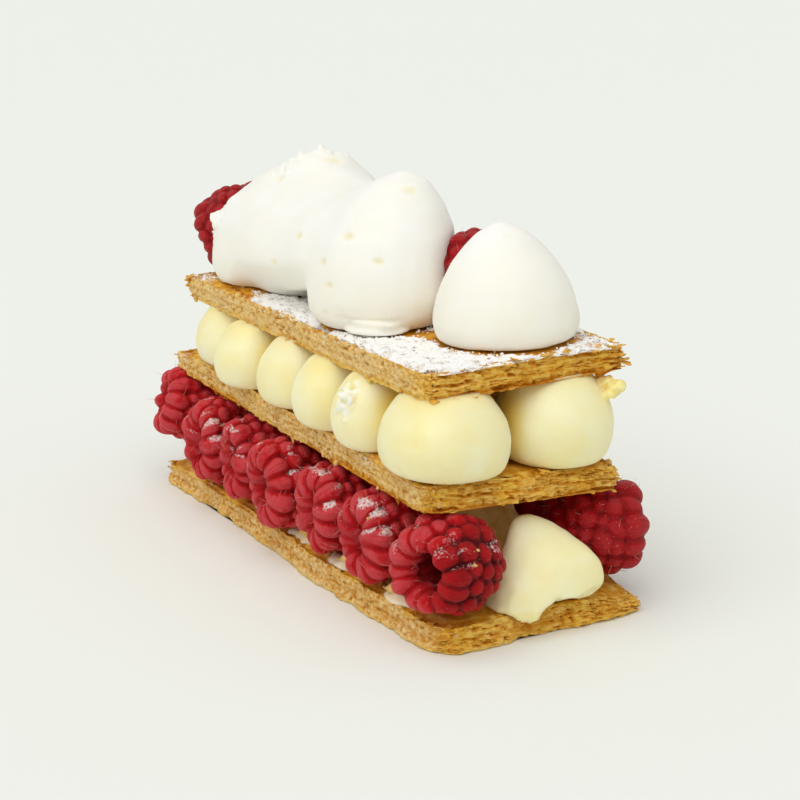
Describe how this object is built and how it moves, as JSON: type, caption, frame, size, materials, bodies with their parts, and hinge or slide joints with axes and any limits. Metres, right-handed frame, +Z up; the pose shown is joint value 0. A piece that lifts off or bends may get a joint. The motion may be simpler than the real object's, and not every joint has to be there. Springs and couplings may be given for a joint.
{
  "type": "raspberry mille-feuille slice",
  "caption": "Free-standing dessert slice: three sheets of puff pastry layered with raspberries, pressed dollops of lemon cream and a whipped cream topping.",
  "frame": {"origin": "centre of the flat underside of the bottom pastry sheet, on the surface that the slice stands on", "axes": "+X along the slice's length, towards the end where the slumped lemon cream shows; +Z up; the long side with the raspberries' hollows facing out in the picture looks along -Y"},
  "size_m": [0.1354, 0.0573, 0.0825],
  "materials": {
    "puff_pastry": "baked, flaky, golden",
    "raspberry": "fresh fruit, soft sheen",
    "lemon_cream": "smooth, satin",
    "whipped_cream": "soft, matt",
    "core_cream": "smooth, satin"
  },
  "bodies": {
    "root": {"pastry_bottom": "puff_pastry", "pastry_middle": "puff_pastry", "pastry_top": "puff_pastry", "berry_front_1": "raspberry", "berry_front_2": "raspberry", "berry_front_3": "raspberry", "berry_front_4": "raspberry", "berry_front_5": "raspberry", "berry_front_6": "raspberry", "berry_front_7": "raspberry", "berry_back_1": "raspberry", "berry_back_2": "raspberry", "berry_back_3": "raspberry", "berry_back_4": "raspberry", "berry_back_5": "raspberry", "berry_back_6": "raspberry", "berry_back_7": "raspberry", "cream_core": "core_cream", "lemon_slump": "lemon_cream", "lemon_front_1": "lemon_cream", "lemon_front_2": "lemon_cream", "lemon_front_3": "lemon_cream", "lemon_front_4": "lemon_cream", "lemon_front_5": "lemon_cream", "lemon_front_6": "lemon_cream", "lemon_back_1": "lemon_cream", "lemon_back_2": "lemon_cream", "lemon_back_3": "lemon_cream", "lemon_back_4": "lemon_cream", "lemon_back_5": "lemon_cream", "lemon_back_6": "lemon_cream", "whipped_left": "whipped_cream", "whipped_middle": "whipped_cream", "whipped_right": "whipped_cream", "berry_top_left": "raspberry", "berry_top_right": "raspberry"}
  },
  "joints": []
}
